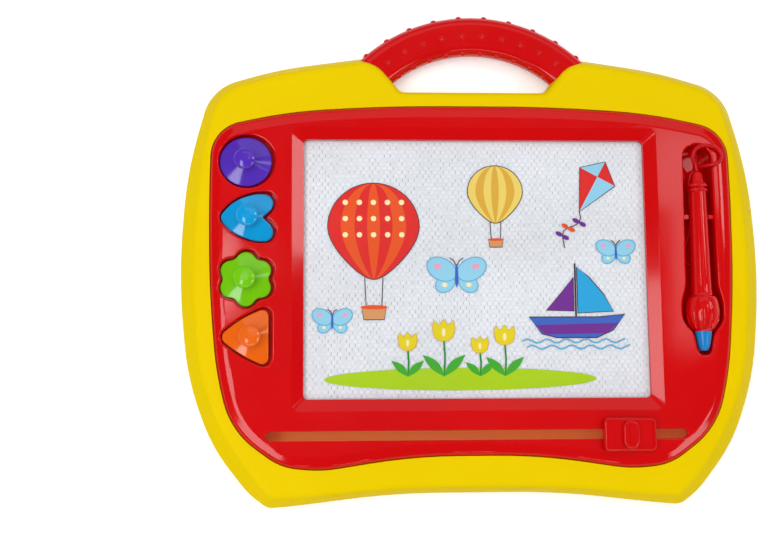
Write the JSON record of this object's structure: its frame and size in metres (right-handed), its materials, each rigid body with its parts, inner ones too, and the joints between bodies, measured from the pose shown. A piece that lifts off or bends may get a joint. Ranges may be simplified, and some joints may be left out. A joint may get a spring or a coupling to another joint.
{
  "type": "magnetic drawing board",
  "caption": "Toy drawing board with a magnetic screen, a sliding eraser, lift-out shape stamps, a tethered pen and an arched carrying handle.",
  "frame": {"origin": "middle of the whole object's box, on its flat back", "axes": "+X to the right of the drawing face, +Y towards the handle, +Z out of the drawing face"},
  "size_m": [0.4226, 0.36, 0.0381],
  "materials": {
    "case_plastic": "moulded polypropylene, satin gloss",
    "face_plastic": "moulded ABS, high gloss",
    "clear_film": "clear film, satin",
    "cell_plastic": "white cells of liquid and iron powder",
    "tape": "double-sided tape",
    "inner_plastic": "grey moulded plastic",
    "steel": "zinc-plated screws",
    "magnet": "flexible magnet",
    "purple_plastic": "moulded, high gloss",
    "blue_plastic": "moulded, high gloss",
    "green_plastic": "moulded, high gloss",
    "orange_plastic": "moulded, high gloss",
    "tip_plastic": "moulded, satin",
    "cord": "soft braided or moulded cord"
  },
  "bodies": {
    "board": {"rear_cover": "case_plastic", "front_frame": "case_plastic", "face_panel": "face_plastic", "handle_front": "face_plastic", "handle_rear": "face_plastic", "screen_front_film": "clear_film", "screen_cells": "cell_plastic", "screen_back_film": "clear_film", "screen_seal": "tape", "upper_clamp": "inner_plastic", "lower_clamp": "inner_plastic", "clamp_screws": "steel", "cover_screws": "steel", "tether_cord": "cord", "tether_knot": "cord"},
    "eraser": {"eraser_knob": "face_plastic", "eraser_bar": "inner_plastic", "eraser_magnet": "magnet", "eraser_screws": "steel"},
    "round_stamp_set": {"round_stamp": "purple_plastic", "round_magnet": "magnet"},
    "heart_stamp_set": {"heart_stamp": "blue_plastic", "heart_magnet": "magnet"},
    "flower_stamp_set": {"flower_stamp": "green_plastic", "flower_magnet": "magnet"},
    "triangle_stamp_set": {"triangle_stamp": "orange_plastic", "triangle_magnet": "magnet"},
    "pen": {"pen_barrel": "face_plastic", "pen_tip": "tip_plastic", "pen_tail_cap": "face_plastic", "pen_magnet": "magnet"}
  },
  "joints": [
    {"name": "eraser_slide", "type": "slide", "parent": "board", "child": "eraser", "axis": [1, 0, 0], "range_m": [-0.2468, 0.034]},
    {"name": "round_stamp_lift", "type": "slide", "parent": "board", "child": "round_stamp_set", "axis": [0, 0, 1], "range_m": [0, 0.06]},
    {"name": "heart_stamp_lift", "type": "slide", "parent": "board", "child": "heart_stamp_set", "axis": [0, 0, 1], "range_m": [0, 0.06]},
    {"name": "flower_stamp_lift", "type": "slide", "parent": "board", "child": "flower_stamp_set", "axis": [0, 0, 1], "range_m": [0, 0.06]},
    {"name": "triangle_stamp_lift", "type": "slide", "parent": "board", "child": "triangle_stamp_set", "axis": [0, 0, 1], "range_m": [0, 0.06]},
    {"name": "pen_lift", "type": "slide", "parent": "board", "child": "pen", "axis": [0, 0, 1], "range_m": [0, 0.06]}
  ]
}
